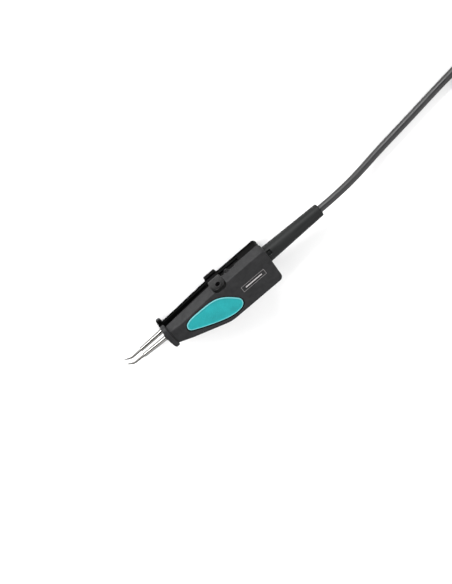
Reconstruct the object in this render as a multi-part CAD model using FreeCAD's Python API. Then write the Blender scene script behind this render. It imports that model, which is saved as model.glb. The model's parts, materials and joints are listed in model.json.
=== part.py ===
"""Hot soldering tweezers for surface-mount rework: two hinged half shells, two plug-in heaters, a cable.

Millimetres. While it is modelled, X runs from the front flange (0) to the cable, Z is the direction in
which the arms open (0 is the plane between them) and Y is across the grip. When it is written, the tool
lies on its far arm, with the origin under the middle of its box.
"""

import FreeCAD
import Part
import math
import os
from FreeCAD import Vector

# Body
HALF_THICK = 12.75        # from the middle plane to each arm's flat outer face
RIM = 5.6                 # from the middle plane to each shell's rim
WALL = 2.0                # shell wall
FRONT_X, FRONT_LOW = 3.0, -7.94      # where the grip's bottom edge starts, inside the flange
BELLY_X, BOTTOM = 48.5, -25.0        # where it stops falling, and its lowest Y
BELLY_ROUND, CORNER_ROUND = 28.0, 4.0
REAR_LOW, REAR_HIGH = 103.3, 104.8   # X of the rear face, at the bottom and at the top
OVER_TOP = 14.0                      # a Y above the top edge, before that is cut
TOP_LINE = ((4.0, 7.7, 54.0, 10.65), (54.0, 10.65, 104.0, 11.02))   # the rim's top edge, X and Y of two runs
TOP_LEAN = -0.597         # Y lost for each mm outwards, on the sloping top wall
TOP_CORNER_ROUND = 3.2    # at the rear end of that wall
NECK_X, NECK_DROP = 18.0, 1.45   # the outer face falls away towards the flange
EDGE_ROUND = 2.0
LINER_INSET = 0.8         # the black liner's edge, inside the shell's
LINER_END = 83.5          # where the liner stops, ahead of the chassis

# Flange
FLANGE_THICK = 5.0
FLANGE_LOW, FLANGE_HIGH = -11.1, 10.9
FLANGE_DOME = 50.0        # radius of its front face
FLANGE_ROUND = 1.3

# Hinge and closing
HINGE_X = 97.0
CLOSE_DEG = 1.53          # how far each arm closes
PIN_R = 1.5
RUNNING = 0.05            # radial running clearance
KNUCKLE_R = 3.4
GAP = 0.3                 # between moving pieces
UPPER_PIN = (1.0, 9.2)
UPPER_NEAR, UPPER_FAR = (2.9, 4.9), (5.2, 7.2)
LOWER_PIN = (-22.8, -11.5)
LOWER_NEAR, LOWER_FAR = (-17.4, -14.6), (-20.5, -17.7)
TONGUE = 0.6              # half the thickness of the chassis tongue
FACE_GAP = 0.8            # middle plane to the inner face, at the hinge
FACE_SLOPE = math.tan(math.radians(CLOSE_DEG + 0.15))   # and what it gains for each mm forwards

# Ears with the cross bolt
BOLT_X, BOLT_Y = 58.9, 7.4
BOLT_R, BOLT_HEAD_R, BOLT_HEAD = 1.25, 1.8, 1.2
BOLT_SEAT = 4.7           # Z of the seat for its head, in the liner's ear
HEX_R, HEX_FLOOR = 0.95, 0.3       # the key's socket in its head
NUT_GRIP = 0.9            # how far it runs into its nut
EAR_LEFT, EAR_RIGHT, EAR_TOP = 52.4, 65.0, 13.6
EAR_FACE = 6.4            # Z of the flat face
POCKET_LOW = 3.7          # Y of the pocket's floor line
SPRING_R, SPRING_WIRE, SPRING_SEAT = 3.0, 0.6, 3.9

EAR_RING_R, EAR_RING = 3.1, 0.4
POCKET_ROUND = 4.5

# Small lug on the near arm's rim, and notches in both rims
LUG_X, LUG_Y, LUG_R = 70.8, 11.45, 1.6
LUG_ROOT, LUG_FACE, LUG_HOLE_R = 9.0, 6.6, 0.65
NOTCHES = ((65.8, 68.0), (73.4, 78.4))
NOTCH_LOW, NOTCH_FACE = 10.1, 6.7

# Pads
PAD_THICK = 1.2
PAD_GROOVE = 0.55
PAD_ROUND = 0.5
PAD_EGG = ((17.3, -3.6), (18.8, 0.3), (23.4, 2.4), (32.5, 2.9), (42.0, 2.8),
           (50.0, 1.4), (57.1, -2.9), (63.1, -9.0), (66.3, -14.5), (64.7, -19.1),
           (59.3, -21.2), (51.3, -20.7), (40.2, -17.1), (29.2, -12.2), (21.2, -8.1))

# Screws that hold a liner in its shell
SCREWS = ((14.0, -6.5), (46.0, -19.0), (80.0, -19.0), (80.0, 5.0))
SCREW_R, SCREW_HEAD_R, SCREW_HEAD, SCREW_LONG = 0.8, 1.6, 0.8, 4.6
SLOT_HALF, SLOT_DEEP = 0.2, 0.35
SCREW_SUNK = 0.05         # the head's face below the liner's
BOSS_R, SCREW_HOLE_END = 2.3, 9.2

# Heater cartridges, along their own axis, 0 at the flange
AXIS_Y, AXIS_Z, AXIS_DEG = 0.5, 6.4, 3.0
SLEEVE_R, SLEEVE_FRONT_R = 2.2, 1.9
SLEEVE_FRONT, SLEEVE_END = -23.0, 36.0
NECK_R, NECK_END_R, NECK_END = 1.15, 0.95, -31.0
TIP_LINE = ((-31.0, 0.0, 0.0, 0.95), (-33.4, 0.4, -0.05, 0.85), (-35.4, 1.4, -0.17, 0.7),
            (-37.1, 2.6, -0.3, 0.48), (-38.5, 3.65, -0.42, 0.25))   # X, Y, Z and radius
SOCKET_R, SOCKET_BORE, SOCKET_END = 2.75, 2.3, 35.0
CORE_R = 1.5
CONTACT_R = 1.0
CLIP_R, CLIP_BORE, CLIP_START, CLIP_LONG = 1.9, 1.3, SLEEVE_END + 1.3, 5.5
TERMINAL_START, TERMINAL_LONG = SLEEVE_END + 6.8, 7.0
TERMINAL_HALF, TERMINAL_HIGH = 3.0, 10.4

# Boot and cable
BOOT_Y = -4.5
BOOT_ROOT_R, BOOT_TIP_R = 7.15, 5.7
BOOT_START, BOOT_END = 103.9, 161.0
CABLE_R = 3.25
CLAMP, CLAMP_R = (90.0, 95.0), 4.1
BOOT_STUB_R = 5.0
LEAD_R = 0.7
WINDOW_X, WINDOW_HALF = (74.0, 84.0), 2.6    # the leads' way through the liner
CHASSIS_START, CHASSIS_HALF = 84.3, 5.1
CHASSIS_LOW, CHASSIS_HIGH = -24.0, 10.1
TONGUE_START, TONGUE_LOW, TONGUE_HIGH = 50.5, -6.0, 8.6
TONGUE_EAR, TONGUE_EAR_TOP = (53.2, 64.3), 12.6   # its raised part, between the arms' ears
FLOOR = -HALF_THICK
ON_FLOOR = FLOOR + CABLE_R + 0.05

SHAPES = {}


# Helpers

def outline(corners, place):
    """A closed wire of straight runs through (a, b, rounding) corners; place maps (a, b) to space."""
    ends = []
    for i, (a, b, rounding) in enumerate(corners):
        here = Vector(a, b, 0)
        to_last = (Vector(*corners[i - 1][:2], 0) - here).normalize()
        to_next = (Vector(*corners[(i + 1) % len(corners)][:2], 0) - here).normalize()
        if rounding == 0:
            ends.append((here, here, here))
            continue
        half = to_last.getAngle(to_next) / 2
        reach = rounding / math.tan(half)
        centre = here + (to_last + to_next).normalize() * (rounding / math.sin(half))
        middle = centre + (here - centre).normalize() * rounding
        ends.append((here + to_last * reach, middle, here + to_next * reach))
    edges = []
    for i, (first, middle, last) in enumerate(ends):
        start = place(first.x, first.y)
        stop = place(last.x, last.y)
        after = ends[(i + 1) % len(ends)][0]
        if first != last:
            edges.append(Part.Arc(start, place(middle.x, middle.y), stop).toShape())
        edges.append(Part.LineSegment(stop, place(after.x, after.y)).toShape())
    return Part.Wire(edges)


def at_z(z):
    return lambda a, b: Vector(a, b, z)


def at_x(x):
    return lambda a, b: Vector(x, a, b)


def slab(corners, low, high):
    """A prism along Z with an outline in X and Y."""
    return Part.Face(outline(corners, at_z(low))).extrude(Vector(0, 0, high - low))


def box(x, y, z):
    """A box from its (low, high) limits on each axis."""
    return Part.makeBox(x[1] - x[0], y[1] - y[0], z[1] - z[0], Vector(x[0], y[0], z[0]))


def rod_x(radius, start, end, y=0.0, z=0.0):
    return Part.makeCylinder(radius, end - start, Vector(start, y, z), Vector(1, 0, 0))


def rod_y(radius, limits):
    return Part.makeCylinder(radius, limits[1] - limits[0], Vector(HINGE_X, limits[0], 0), Vector(0, 1, 0))


def rod_z(radius, x, y, low, high):
    return Part.makeCylinder(radius, high - low, Vector(x, y, low), Vector(0, 0, 1))


def prism(points, along):
    """A solid from a flat polygon of points, swept along a vector."""
    return Part.Face(Part.makePolygon(points + [points[0]])).extrude(along)


def rounded(shape, radius, choose):
    """Rounds the edges whose middle passes the test."""
    return shape.makeFillet(radius, [e for e in shape.Edges if choose(e.CenterOfMass)])


def tube(points, radius, name=None):
    """A round tube along straight runs joined by tangent arcs as large as the runs allow."""
    line = [Vector(*p) for p in points]
    edges = []
    at = line[0]
    radii = []
    for last, here, after in zip(line, line[1:], line[2:]):
        back, on = last - here, after - here
        half_turn = (math.pi - back.getAngle(on)) / 2
        reach = 0.45 * min(back.Length, on.Length)
        radii.append(reach / math.tan(half_turn))
        back.normalize()
        on.normalize()
        start, stop = here + back * reach, here + on * reach
        sag = radii[-1] / math.cos(half_turn) - radii[-1]
        edges.append(Part.LineSegment(at, start).toShape())
        edges.append(Part.Arc(start, here + (back + on).normalize() * sag, stop).toShape())
        at = stop
    edges.append(Part.LineSegment(at, line[-1]).toShape())
    path = Part.Wire(edges)
    section = Part.Wire(Part.Circle(line[0], line[1] - line[0], radius).toShape())
    solid = path.makePipeShell([section], True, True)
    if name:
        filled = solid.Volume / (math.pi * radius ** 2 * path.Length)
        print(name, "length", round(path.Length, 1), "filled", round(filled, 4))
        print(name, "radii", [round(r) for r in radii])
    return solid


def other_side(shape):
    return shape.mirror(Vector(0, 0, 0), Vector(0, 0, 1))


def on_axis(shape):
    """Moves a piece that was made along X onto the near cartridge's slanting axis."""
    placed = shape.copy()
    placed.rotate(Vector(0, 0, 0), Vector(0, 1, 0), -AXIS_DEG)
    placed.translate(Vector(0, AXIS_Y, AXIS_Z))
    return placed


def inner_face(x):
    return FACE_GAP + FACE_SLOPE * (HINGE_X - x)


def pair(name, shape):
    """One piece for the near arm and its mirror image for the far arm."""
    SHAPES["near_" + name] = shape
    SHAPES["far_" + name] = other_side(shape)


# Shells

def grip_foot(inset, low, high):
    """A slab with the grip's outline from the side, taken in by inset."""
    foot = outline([(FRONT_X, FRONT_LOW, 0), (BELLY_X, BOTTOM, BELLY_ROUND), (REAR_LOW, BOTTOM, CORNER_ROUND),
                    (REAR_HIGH, OVER_TOP, 0), (FRONT_X, OVER_TOP, 0)], at_z(low))
    if inset:
        foot = foot.makeOffset2D(-inset)
    return Part.Face(foot).extrude(Vector(0, 0, high - low))


def cut_top(block, drop, lean):
    """Takes off what stands above the top edge, dropped and leaning as given."""
    for x_0, y_0, x_1, y_1 in TOP_LINE:
        along = Vector(1, (y_1 - y_0) / (x_1 - x_0), 0)
        rim = Vector(-10, y_0 - (10 + x_0) * along.y - drop, RIM)
        corners = [rim + Vector(0, lean * up + out, up) for up, out in ((-9, 0), (12, 0), (12, 40), (-9, 40))]
        block = block.cut(prism(corners, along * 130))
    return block


def arm_block(inset, low):
    """The near arm's outer form, or the cavity inside it when inset is the wall."""
    block = cut_top(grip_foot(inset, low, HALF_THICK - inset), inset * math.hypot(1, TOP_LEAN), TOP_LEAN)
    slope = NECK_DROP / (NECK_X - FLANGE_THICK)
    face = HALF_THICK - inset
    corners = [Vector(x, -40, face + slope * (x - NECK_X)) for x in (-5, 32)]
    corners += [Vector(32, -40, 30), Vector(-5, -40, 30)]
    return block.cut(prism(corners, Vector(0, 80, 0)))


def flange():
    high = HALF_THICK
    corners = [(FLANGE_LOW, RIM, 0), (FLANGE_LOW, high, 4.5), (FLANGE_HIGH, high, 6), (FLANGE_HIGH, RIM, 0)]
    plate = Part.Face(outline(corners, at_x(0))).extrude(Vector(FLANGE_THICK, 0, 0))
    dome = rod_z(FLANGE_DOME, FLANGE_DOME, 0, RIM, high)
    edges = (lambda c: c.z > RIM + 0.1 and (c.x < FLANGE_THICK / 2 or c.x > FLANGE_THICK - 0.1))
    return rounded(plate.common(dome), FLANGE_ROUND, edges)


def ear_outline():
    return [(EAR_LEFT, 2.5, 0), (EAR_RIGHT, 2.5, 0), (EAR_RIGHT, 9.8, 0), (64.1, EAR_TOP, 0.8),
            (53.4, EAR_TOP, 0.8), (EAR_LEFT, 9.8, 0)]


def pocket_outline(wider):
    left, right, low = EAR_LEFT - wider, EAR_RIGHT + wider, POCKET_LOW - wider
    return [(left, low, POCKET_ROUND), (right, low, POCKET_ROUND), (right, OVER_TOP, 0), (left, OVER_TOP, 0)]


def with_lug(body):
    """A shell with the small pierced lug on its rim."""
    foot = slab([(LUG_X - 2.2, LUG_ROOT, 0), (LUG_X + 2.2, LUG_ROOT, 0), (LUG_X + LUG_R, LUG_Y, 0),
                 (LUG_X - LUG_R, LUG_Y, 0)], RIM, LUG_FACE)
    body = body.fuse(foot).fuse(rod_z(LUG_R, LUG_X, LUG_Y, RIM, LUG_FACE)).removeSplitter()
    return body.cut(rod_z(LUG_HOLE_R, LUG_X, LUG_Y, RIM - 1, LUG_FACE + 1))


def pad_wire(wider=0.0):
    """The pad's egg-shaped outline at the height of its underside, or one that much outside it."""
    points = []
    for i, (x, y) in enumerate(PAD_EGG):
        last, after = PAD_EGG[i - 1], PAD_EGG[(i + 1) % len(PAD_EGG)]
        out = Vector(last[1] - after[1], after[0] - last[0], 0).normalize() * wider
        points.append(Vector(x, y, HALF_THICK - PAD_THICK) + out)
    curve = Part.BSplineCurve()
    curve.interpolate(points, True)
    return Part.Wire(curve.toShape())


def shell():
    outer = rounded(arm_block(0, RIM), TOP_CORNER_ROUND, lambda c: c.x > 103 and c.y > 8 and 5 < c.z < 12)
    face_edges = (lambda c: abs(c.z - HALF_THICK) < 0.01 and c.x > NECK_X + 0.01
                  or FLANGE_THICK < c.x < NECK_X and c.z > 11.5)
    outer = rounded(outer, EDGE_ROUND, face_edges)
    cavity = arm_block(WALL, RIM - 1)
    for x, y in SCREWS:
        cavity = cavity.cut(rod_z(BOSS_R, x, y, RIM - 2, HALF_THICK))
    cavity = cavity.cut(slab(pocket_outline(1.6), RIM - 2, HALF_THICK))
    cavity = cavity.cut(on_axis(rod_x(SOCKET_R + 1.0, 0, SOCKET_END)))
    body = outer.cut(cavity).fuse(flange())
    body = body.cut(slab(pocket_outline(0), EAR_FACE, HALF_THICK + 1))
    body = body.fuse(slab(ear_outline(), RIM, EAR_FACE))
    body = body.fuse(rod_z(EAR_RING_R, BOLT_X, BOLT_Y, EAR_FACE, EAR_FACE + EAR_RING)).removeSplitter()
    body = body.cut(rod_z(BOLT_HEAD_R + GAP, BOLT_X, BOLT_Y, RIM - 1, EAR_FACE + 1))
    for limits in NOTCHES:
        body = body.cut(box(limits, (NOTCH_LOW, OVER_TOP), (RIM - 1, NOTCH_FACE)))
    for x, y in SCREWS:
        body = body.cut(rod_z(SCREW_R, x, y, RIM - 1, SCREW_HOLE_END))
    body = body.cut(on_axis(rod_x(SOCKET_R, -3, SOCKET_END)))
    body = body.cut(rod_x(BOOT_ROOT_R + 0.7, 98, 106, BOOT_Y))
    recess = Part.Face(pad_wire(PAD_GROOVE)).extrude(Vector(0, 0, 5))
    return body.cut(recess)


def pad():
    plain = Part.Face(pad_wire()).extrude(Vector(0, 0, PAD_THICK))
    return rounded(plain, PAD_ROUND, lambda c: abs(c.z - HALF_THICK) < 0.01)


# Liners: the black inner half of each arm, with its hinge knuckles

def liner(knuckles):
    """The near arm's liner, with knuckles at these (low, high) limits along the hinge pins."""
    plate = cut_top(grip_foot(LINER_INSET, 0, RIM), LINER_INSET, 0)
    plate = plate.cut(box((LINER_END, 110), (-40, 20), (-1, 6)))
    plate = plate.fuse(box((1.3, 4.3), (FLANGE_LOW + LINER_INSET, FLANGE_HIGH - GAP), (0, RIM)))
    for limits in knuckles:
        plate = plate.fuse(box((LINER_END - 3, HINGE_X), limits, (0, RIM)))
    wedge = prism([Vector(-5, -40, -1), Vector(HINGE_X, -40, -1), Vector(HINGE_X, -40, FACE_GAP),
                   Vector(-5, -40, inner_face(-5))], Vector(0, 80, 0))
    plate = plate.cut(wedge)
    for limits in knuckles:
        plate = plate.fuse(rod_y(KNUCKLE_R, limits))
    ear = slab(ear_outline(), inner_face(BOLT_X), RIM)
    plate = plate.fuse(ear).removeSplitter()
    for limits in knuckles:
        wide = (limits[0] - 1, limits[1] + 1)
        plate = plate.cut(rod_y(PIN_R + RUNNING, wide))
    plate = plate.cut(rod_z(BOLT_R + GAP, BOLT_X, BOLT_Y, 0, RIM + 1))
    plate = plate.cut(rod_z(BOLT_HEAD_R + GAP, BOLT_X, BOLT_Y, BOLT_SEAT, RIM + 1))
    plate = plate.cut(rod_z(SPRING_R + GAP, BOLT_X, BOLT_Y, 0, SPRING_SEAT))
    plate = plate.cut(on_axis(rod_x(SOCKET_R, -3, SOCKET_END)))
    plate = plate.cut(box(WINDOW_X, (BOOT_Y - WINDOW_HALF, BOOT_Y + WINDOW_HALF), (0, RIM + 1)))
    for x, y in SCREWS:
        plate = plate.cut(rod_z(SCREW_R, x, y, 0, RIM + 1))
        plate = plate.cut(rod_z(SCREW_HEAD_R + 0.1, x, y, 0, inner_face(x) + SCREW_HEAD))
    return plate


def liner_screws():
    """Four pan heads let into the liner, as separate solids of one node."""
    screws = []
    for x, y in SCREWS:
        seat = inner_face(x) + SCREW_HEAD
        face = seat - SCREW_HEAD + SCREW_SUNK
        head = rod_z(SCREW_HEAD_R, x, y, face, seat)
        slot = box((x - 2, x + 2), (y - SLOT_HALF, y + SLOT_HALF), (face - 1, face + SLOT_DEEP))
        screws.append(head.cut(slot).fuse(rod_z(SCREW_R, x, y, seat, seat + SCREW_LONG)))
    return Part.makeCompound(screws)


def return_spring():
    low, high = TONGUE, SPRING_SEAT
    coils = rod_z(SPRING_R, BOLT_X, BOLT_Y, low, high)
    return coils.cut(rod_z(SPRING_R - SPRING_WIRE, BOLT_X, BOLT_Y, low, high))


# Heater cartridges and what holds them

def sleeve():
    body = rod_x(SLEEVE_R, 0, SLEEVE_END)
    front = Part.makeCone(SLEEVE_R, SLEEVE_FRONT_R, -SLEEVE_FRONT, Vector(0, 0, 0), Vector(-1, 0, 0))
    body = body.fuse(front).removeSplitter()
    body = rounded(body, 0.4, lambda c: c.x < SLEEVE_FRONT + 0.1)
    return on_axis(body.cut(rod_x(CORE_R, SLEEVE_FRONT + 1.5, SLEEVE_END + 1)))


def tip():
    """Neck and bent point in one piece, with the shank that sits in the sleeve."""
    neck_long = SLEEVE_FRONT - NECK_END
    neck = Part.makeCone(NECK_R, NECK_END_R, neck_long, Vector(SLEEVE_FRONT, 0, 0), Vector(-1, 0, 0))
    rings = []
    for i, (x, y, z, radius) in enumerate(TIP_LINE):
        last = Vector(*TIP_LINE[max(i - 1, 0)][:3])
        after = Vector(*TIP_LINE[min(i + 1, len(TIP_LINE) - 1)][:3])
        way = after - last if i else Vector(-1, 0, 0)
        rings.append(Part.Wire(Part.Circle(Vector(x, y, z), way, radius).toShape()))
    return on_axis(neck.fuse(Part.makeLoft(rings, True)).removeSplitter())


def heater_core():
    """The ceramic rod with the winding, inside the sleeve."""
    return on_axis(rod_x(CORE_R, SLEEVE_FRONT + 1.5, SLEEVE_END - 2))


def terminal():
    """The cartridge's insulated tail and its round contact."""
    tail = rod_x(CORE_R, SLEEVE_END - 2, SLEEVE_END + 1)
    contact = rod_x(CONTACT_R, SLEEVE_END + 1, SLEEVE_END + 4)
    return on_axis(tail.fuse(contact).removeSplitter())


def socket_tube():
    return on_axis(rod_x(SOCKET_R, 4.5, SOCKET_END).cut(rod_x(SOCKET_BORE, 4, SOCKET_END + 1)))


def bushing():
    """The collar in the flange that the cartridge slides through."""
    ring = rounded(rod_x(SOCKET_R, -0.5, 4.5), 0.3, lambda c: c.x < -0.4)
    return on_axis(ring.cut(rod_x(SLEEVE_R + RUNNING, -2, 6)))


def contact_clip():
    """The brass clip that the cartridge's tail plugs into."""
    clip = rod_x(CLIP_R, CLIP_START, CLIP_START + CLIP_LONG)
    clip = clip.cut(rod_x(CLIP_BORE, CLIP_START - 1, CLIP_START + CLIP_LONG - 1))
    slit = box((CLIP_START - 1, CLIP_START + 4), (-0.25, 0.25), (-3, 3))
    return on_axis(clip.cut(slit))


def leads():
    """Two wires from the terminal block, through the liner's window, to the end of the cable."""
    wires = []
    for side in (-1, 1):
        route = [(TERMINAL_START + TERMINAL_LONG, AXIS_Y - 0.8 + 1.1 * side, 7.6),
                 (64, -0.8 + 1.3 * side, 7.4), (77, BOOT_Y + 1.2 * side, 6.6),
                 (83.4, BOOT_Y + 1.1 * side, 4.6), (88.8, BOOT_Y + side, 1.5)]
        wires.append(tube(route, LEAD_R))
    return Part.makeCompound(wires)


def terminal_block():
    """The block that carries the clip, standing on the liner."""
    return box((TERMINAL_START, TERMINAL_START + TERMINAL_LONG),
               (AXIS_Y - TERMINAL_HALF, AXIS_Y + TERMINAL_HALF), (RIM, TERMINAL_HIGH))


# Chassis: the black piece between the arms, with the hinge, the tongue and the cable's clamp

def chassis():
    sides = [(CHASSIS_START, CHASSIS_LOW, 0), (BOOT_START - 1, CHASSIS_LOW, 3.4),
             (BOOT_START, CHASSIS_HIGH, 3), (CHASSIS_START, CHASSIS_HIGH, 0)]
    block = slab(sides, -CHASSIS_HALF, CHASSIS_HALF)
    block = block.fuse(rod_x(BOOT_ROOT_R + 0.2, HINGE_X + 1, BOOT_START, BOOT_Y))
    root = CHASSIS_START + 0.7
    tongue = slab([(TONGUE_START, TONGUE_LOW, 2), (root, TONGUE_LOW, 0), (root, TONGUE_HIGH, 0),
                   (TONGUE_EAR[1] + 2.3, TONGUE_HIGH, 1), (TONGUE_EAR[1], TONGUE_EAR_TOP, 0.8),
                   (TONGUE_EAR[0], TONGUE_EAR_TOP, 0.8), (TONGUE_START, TONGUE_HIGH, 1)], -TONGUE, TONGUE)
    block = block.fuse(tongue).removeSplitter()
    for low, high in ((UPPER_NEAR[0], UPPER_FAR[1]), (LOWER_FAR[0], LOWER_NEAR[1])):
        block = block.cut(box((80, 101), (low - GAP, high + GAP), (-6, 6)))
    for limits in (UPPER_PIN, LOWER_PIN):
        block = block.cut(rod_y(PIN_R, limits))
    block = block.cut(rod_z(BOLT_R, BOLT_X, BOLT_Y, -2, 2))
    block = block.cut(rod_x(CABLE_R, 84, 106, BOOT_Y))
    block = block.cut(box((84, CLAMP[0]), (BOOT_Y - 3, BOOT_Y + 3), (-6, 6)))
    return block.cut(rod_x(BOOT_STUB_R, CLAMP[1] + 1, 106, BOOT_Y)).cut(rod_x(CLAMP_R, *CLAMP, BOOT_Y))


def boot():
    body = Part.makeCone(BOOT_ROOT_R, BOOT_TIP_R, BOOT_END - BOOT_START, Vector(BOOT_START, BOOT_Y, 0),
                         Vector(1, 0, 0))
    body = rounded(body, 0.8, lambda c: c.x > BOOT_END - 0.1)
    body = body.fuse(rod_x(BOOT_STUB_R, CLAMP[1] + 1, BOOT_START, BOOT_Y)).removeSplitter()
    return body.cut(rod_x(CABLE_R, 90, BOOT_END + 5, BOOT_Y))


def cross_bolt():
    head = rod_z(BOLT_HEAD_R, BOLT_X, BOLT_Y, BOLT_SEAT, BOLT_SEAT + BOLT_HEAD)
    centre = Vector(BOLT_X, BOLT_Y, BOLT_SEAT + HEX_FLOOR)
    turns = [math.radians(60 * i) for i in range(6)]
    hexagon = [centre + Vector(math.cos(turn), math.sin(turn), 0) * HEX_R for turn in turns]
    shank = rod_z(BOLT_R, BOLT_X, BOLT_Y, -BOLT_SEAT - NUT_GRIP, BOLT_SEAT)
    return head.fuse(shank).cut(prism(hexagon, Vector(0, 0, 5)))


def barrel_nut():
    nut = rod_z(BOLT_HEAD_R, BOLT_X, BOLT_Y, -BOLT_SEAT - BOLT_HEAD, -BOLT_SEAT)
    return nut.cut(rod_z(BOLT_R, BOLT_X, BOLT_Y, -BOLT_SEAT - NUT_GRIP, 0))


# Cable, laid out on the surface that the tool lies on, with its spare length in a long tied coil

TIE_THICK, TIE_WIDE = 1.0, 9.0
COIL_X, COIL_LONG, COIL_Y = 347.0, 66.0, -17.35   # where its straight sides start, their length, its middle
INNER_TURN, OUTER_TURN = 21.0, 27.5               # radii of the turns that lie side by side
COIL_LOW = FLOOR + TIE_THICK + 0.05
COIL_TOP = COIL_LOW + 4 * CABLE_R
TOP_TURN_Z = COIL_TOP + 0.9 * CABLE_R             # the half turn on top of it
TURN_END = COIL_X + COIL_LONG
LEAD_OUT = ((BOOT_END, BOOT_Y, 0.0), (180.0, -4.6, -0.3), (203.0, -4.9, -4.2), (229.0, -3.4, -9.1),
            (262.0, 0.6, ON_FLOOR), (297.0, 5.6, ON_FLOOR), (326.0, 9.2, ON_FLOOR + 0.3),
            (COIL_X, COIL_Y + OUTER_TURN, COIL_LOW + CABLE_R))

# Plug: each length counts from the cable's end
PLUG_R, RELIEF_R, SKIRT_R, SKIRT_BORE = 9.0, 5.4, 7.5, 6.7
RELIEF_LONG, GRIP_LONG, INSERT_LONG, PIN_LONG, SKIRT_LONG = 14.0, 40.0, 44.0, 50.0, 52.0
PIN_COUNT, PIN_THICK, PIN_CIRCLE = 5, 0.7, 3.6
PLUG_X, PLUG_Y, PLUG_Z = TURN_END - 32.0, COIL_Y - 24.25, COIL_TOP + PLUG_R + 0.05   # the cable's end
LEAD_IN = ((TURN_END, COIL_Y - INNER_TURN, TOP_TURN_Z), (TURN_END - 10, COIL_Y - 21.4, TOP_TURN_Z + 0.9),
           (TURN_END - 21, COIL_Y - 23.3, PLUG_Z - 1.2), (PLUG_X, PLUG_Y, PLUG_Z))


def stadium(radius):
    """The space inside one long turn of the coil."""
    middle = box((COIL_X, TURN_END), (COIL_Y - radius, COIL_Y + radius), (COIL_LOW, COIL_TOP))
    ends = [rod_z(radius, x, COIL_Y, COIL_LOW, COIL_TOP) for x in (COIL_X, TURN_END)]
    return middle.fuse(ends).removeSplitter()


def coil():
    """The outer shape of two turns lying on two others, with half a turn on top."""
    ring = stadium(OUTER_TURN + CABLE_R).cut(stadium(INNER_TURN - CABLE_R))
    ring = rounded(ring, CABLE_R * 0.9, lambda c: abs(c.z - COIL_LOW) < 0.01 or abs(c.z - COIL_TOP) < 0.01)
    start, turn, middle, end = (Vector(x, COIL_Y + y, TOP_TURN_Z) for x, y in (
        (COIL_X, INNER_TURN), (TURN_END, INNER_TURN), (TURN_END + INNER_TURN, 0), (TURN_END, -INNER_TURN)))
    path = Part.Wire([Part.LineSegment(start, turn).toShape(), Part.Arc(turn, middle, end).toShape()])
    section = Part.Wire(Part.Circle(start, Vector(1, 0, 0), CABLE_R).toShape())
    return ring.fuse(path.makePipeShell([section], True, True)).removeSplitter()


def tie_ring(outside, width):
    """A strap's outline round the coil's side away from the plug."""
    x, y = COIL_X + COIL_LONG / 2, COIL_Y + (INNER_TURN + OUTER_TURN) / 2
    across = 2 * CABLE_R + outside
    return box((x - width / 2, x + width / 2), (y - across, y + across),
               (COIL_LOW - outside, COIL_LOW + 6 * CABLE_R + outside))


def coil_tie():
    strap = rounded(tie_ring(TIE_THICK, TIE_WIDE), 1.2, lambda c: abs(c.x - COIL_X - COIL_LONG / 2) < 0.1)
    return strap.cut(tie_ring(0.05, TIE_WIDE + 3))


def plug_piece(radius, start, end):
    """A round piece of the plug, which points along -X."""
    return rod_x(radius, PLUG_X - end, PLUG_X - start, PLUG_Y, PLUG_Z)


def plug_pins():
    pins = []
    for i in range(PIN_COUNT):
        turn = 2 * math.pi * i / PIN_COUNT + math.pi / 2
        y, z = PLUG_Y + PIN_CIRCLE * math.cos(turn), PLUG_Z + PIN_CIRCLE * math.sin(turn)
        pins.append(rod_x(PIN_THICK, PLUG_X - PIN_LONG, PLUG_X - GRIP_LONG, y, z))
    return Part.makeCompound(pins)


pair("shell", shell())
SHAPES["near_shell"] = with_lug(SHAPES["near_shell"])
pair("grip_pad", pad())
SHAPES["near_liner"] = liner((UPPER_NEAR, LOWER_NEAR))
SHAPES["far_liner"] = other_side(liner((UPPER_FAR, LOWER_FAR)))
pair("liner_screws", liner_screws())
pair("bushing", bushing())
pair("socket_tube", socket_tube())
pair("contact_clip", contact_clip())
pair("terminal_block", terminal_block())
pair("leads", leads())
pair("return_spring", return_spring())
pair("heater_sleeve", sleeve())
pair("heater_tip", tip())
pair("heater_core", heater_core())
pair("heater_terminal", terminal())
SHAPES["chassis"] = chassis()
SHAPES["upper_hinge_pin"] = rod_y(PIN_R, UPPER_PIN)
SHAPES["lower_hinge_pin"] = rod_y(PIN_R, LOWER_PIN)
SHAPES["cross_bolt"] = cross_bolt()
SHAPES["barrel_nut"] = barrel_nut()
SHAPES["cable_clamp"] = rod_x(CLAMP_R, *CLAMP, BOOT_Y).cut(rod_x(CABLE_R, *CLAMP, BOOT_Y))
SHAPES["cable_inner"] = rod_x(CABLE_R, CLAMP[0] - 0.8, BOOT_END, BOOT_Y)
SHAPES["cable_boot"] = boot()

MIDDLE = FreeCAD.BoundBox()
for shape in SHAPES.values():
    MIDDLE.add(shape.optimalBoundingBox(False, False))
MOVE = Vector(-MIDDLE.Center.x, -MIDDLE.Center.y, -MIDDLE.ZMin)
print("tool box", [round(v, 2) for v in (MIDDLE.XLength, MIDDLE.YLength, MIDDLE.ZLength)], "move", MOVE)

SHAPES["cable_run"] = tube(LEAD_OUT, CABLE_R, "cable_run")
SHAPES["cable_coil"] = coil()
SHAPES["cable_tie"] = coil_tie()
SHAPES["cable_tail"] = tube(LEAD_IN, CABLE_R, "cable_tail")
SHAPES["plug_relief"] = plug_piece(RELIEF_R, 0, RELIEF_LONG)
SHAPES["plug_grip"] = plug_piece(PLUG_R, RELIEF_LONG, GRIP_LONG)
SHAPES["plug_shell"] = plug_piece(SKIRT_R, GRIP_LONG, SKIRT_LONG).cut(
    plug_piece(SKIRT_BORE, GRIP_LONG, SKIRT_LONG + 1))
SHAPES["plug_insert"] = plug_piece(SKIRT_BORE, GRIP_LONG, INSERT_LONG).cut(plug_pins())
SHAPES["plug_pins"] = plug_pins()

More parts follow.
